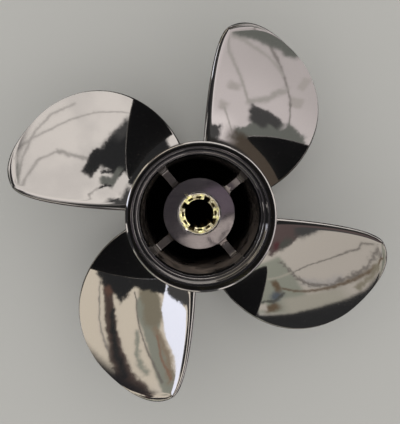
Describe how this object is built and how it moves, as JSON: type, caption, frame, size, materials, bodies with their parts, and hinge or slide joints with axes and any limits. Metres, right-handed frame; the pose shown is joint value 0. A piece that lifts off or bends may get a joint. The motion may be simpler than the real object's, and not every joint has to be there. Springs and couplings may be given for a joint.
{
  "type": "outboard boat propeller",
  "caption": "Right-hand outboard boat propeller with a flared through-hub exhaust barrel, rubber hub bush and splined brass sleeve.",
  "frame": {"origin": "centre of the barrel's forward rim, on the shaft axis, on which the propeller stands", "axes": "+Z aft along the shaft towards the flared rim; +X and +Y across the shaft"},
  "size_m": [0.314, 0.314, 0.112],
  "materials": {
    "gloss_black_paint": "gloss",
    "bush_rubber": "matte",
    "sleeve_brass": "satin"
  },
  "bodies": {
    "root": {"casting": "gloss_black_paint", "rubber_bush": "bush_rubber", "spline_sleeve": "sleeve_brass"}
  },
  "joints": []
}
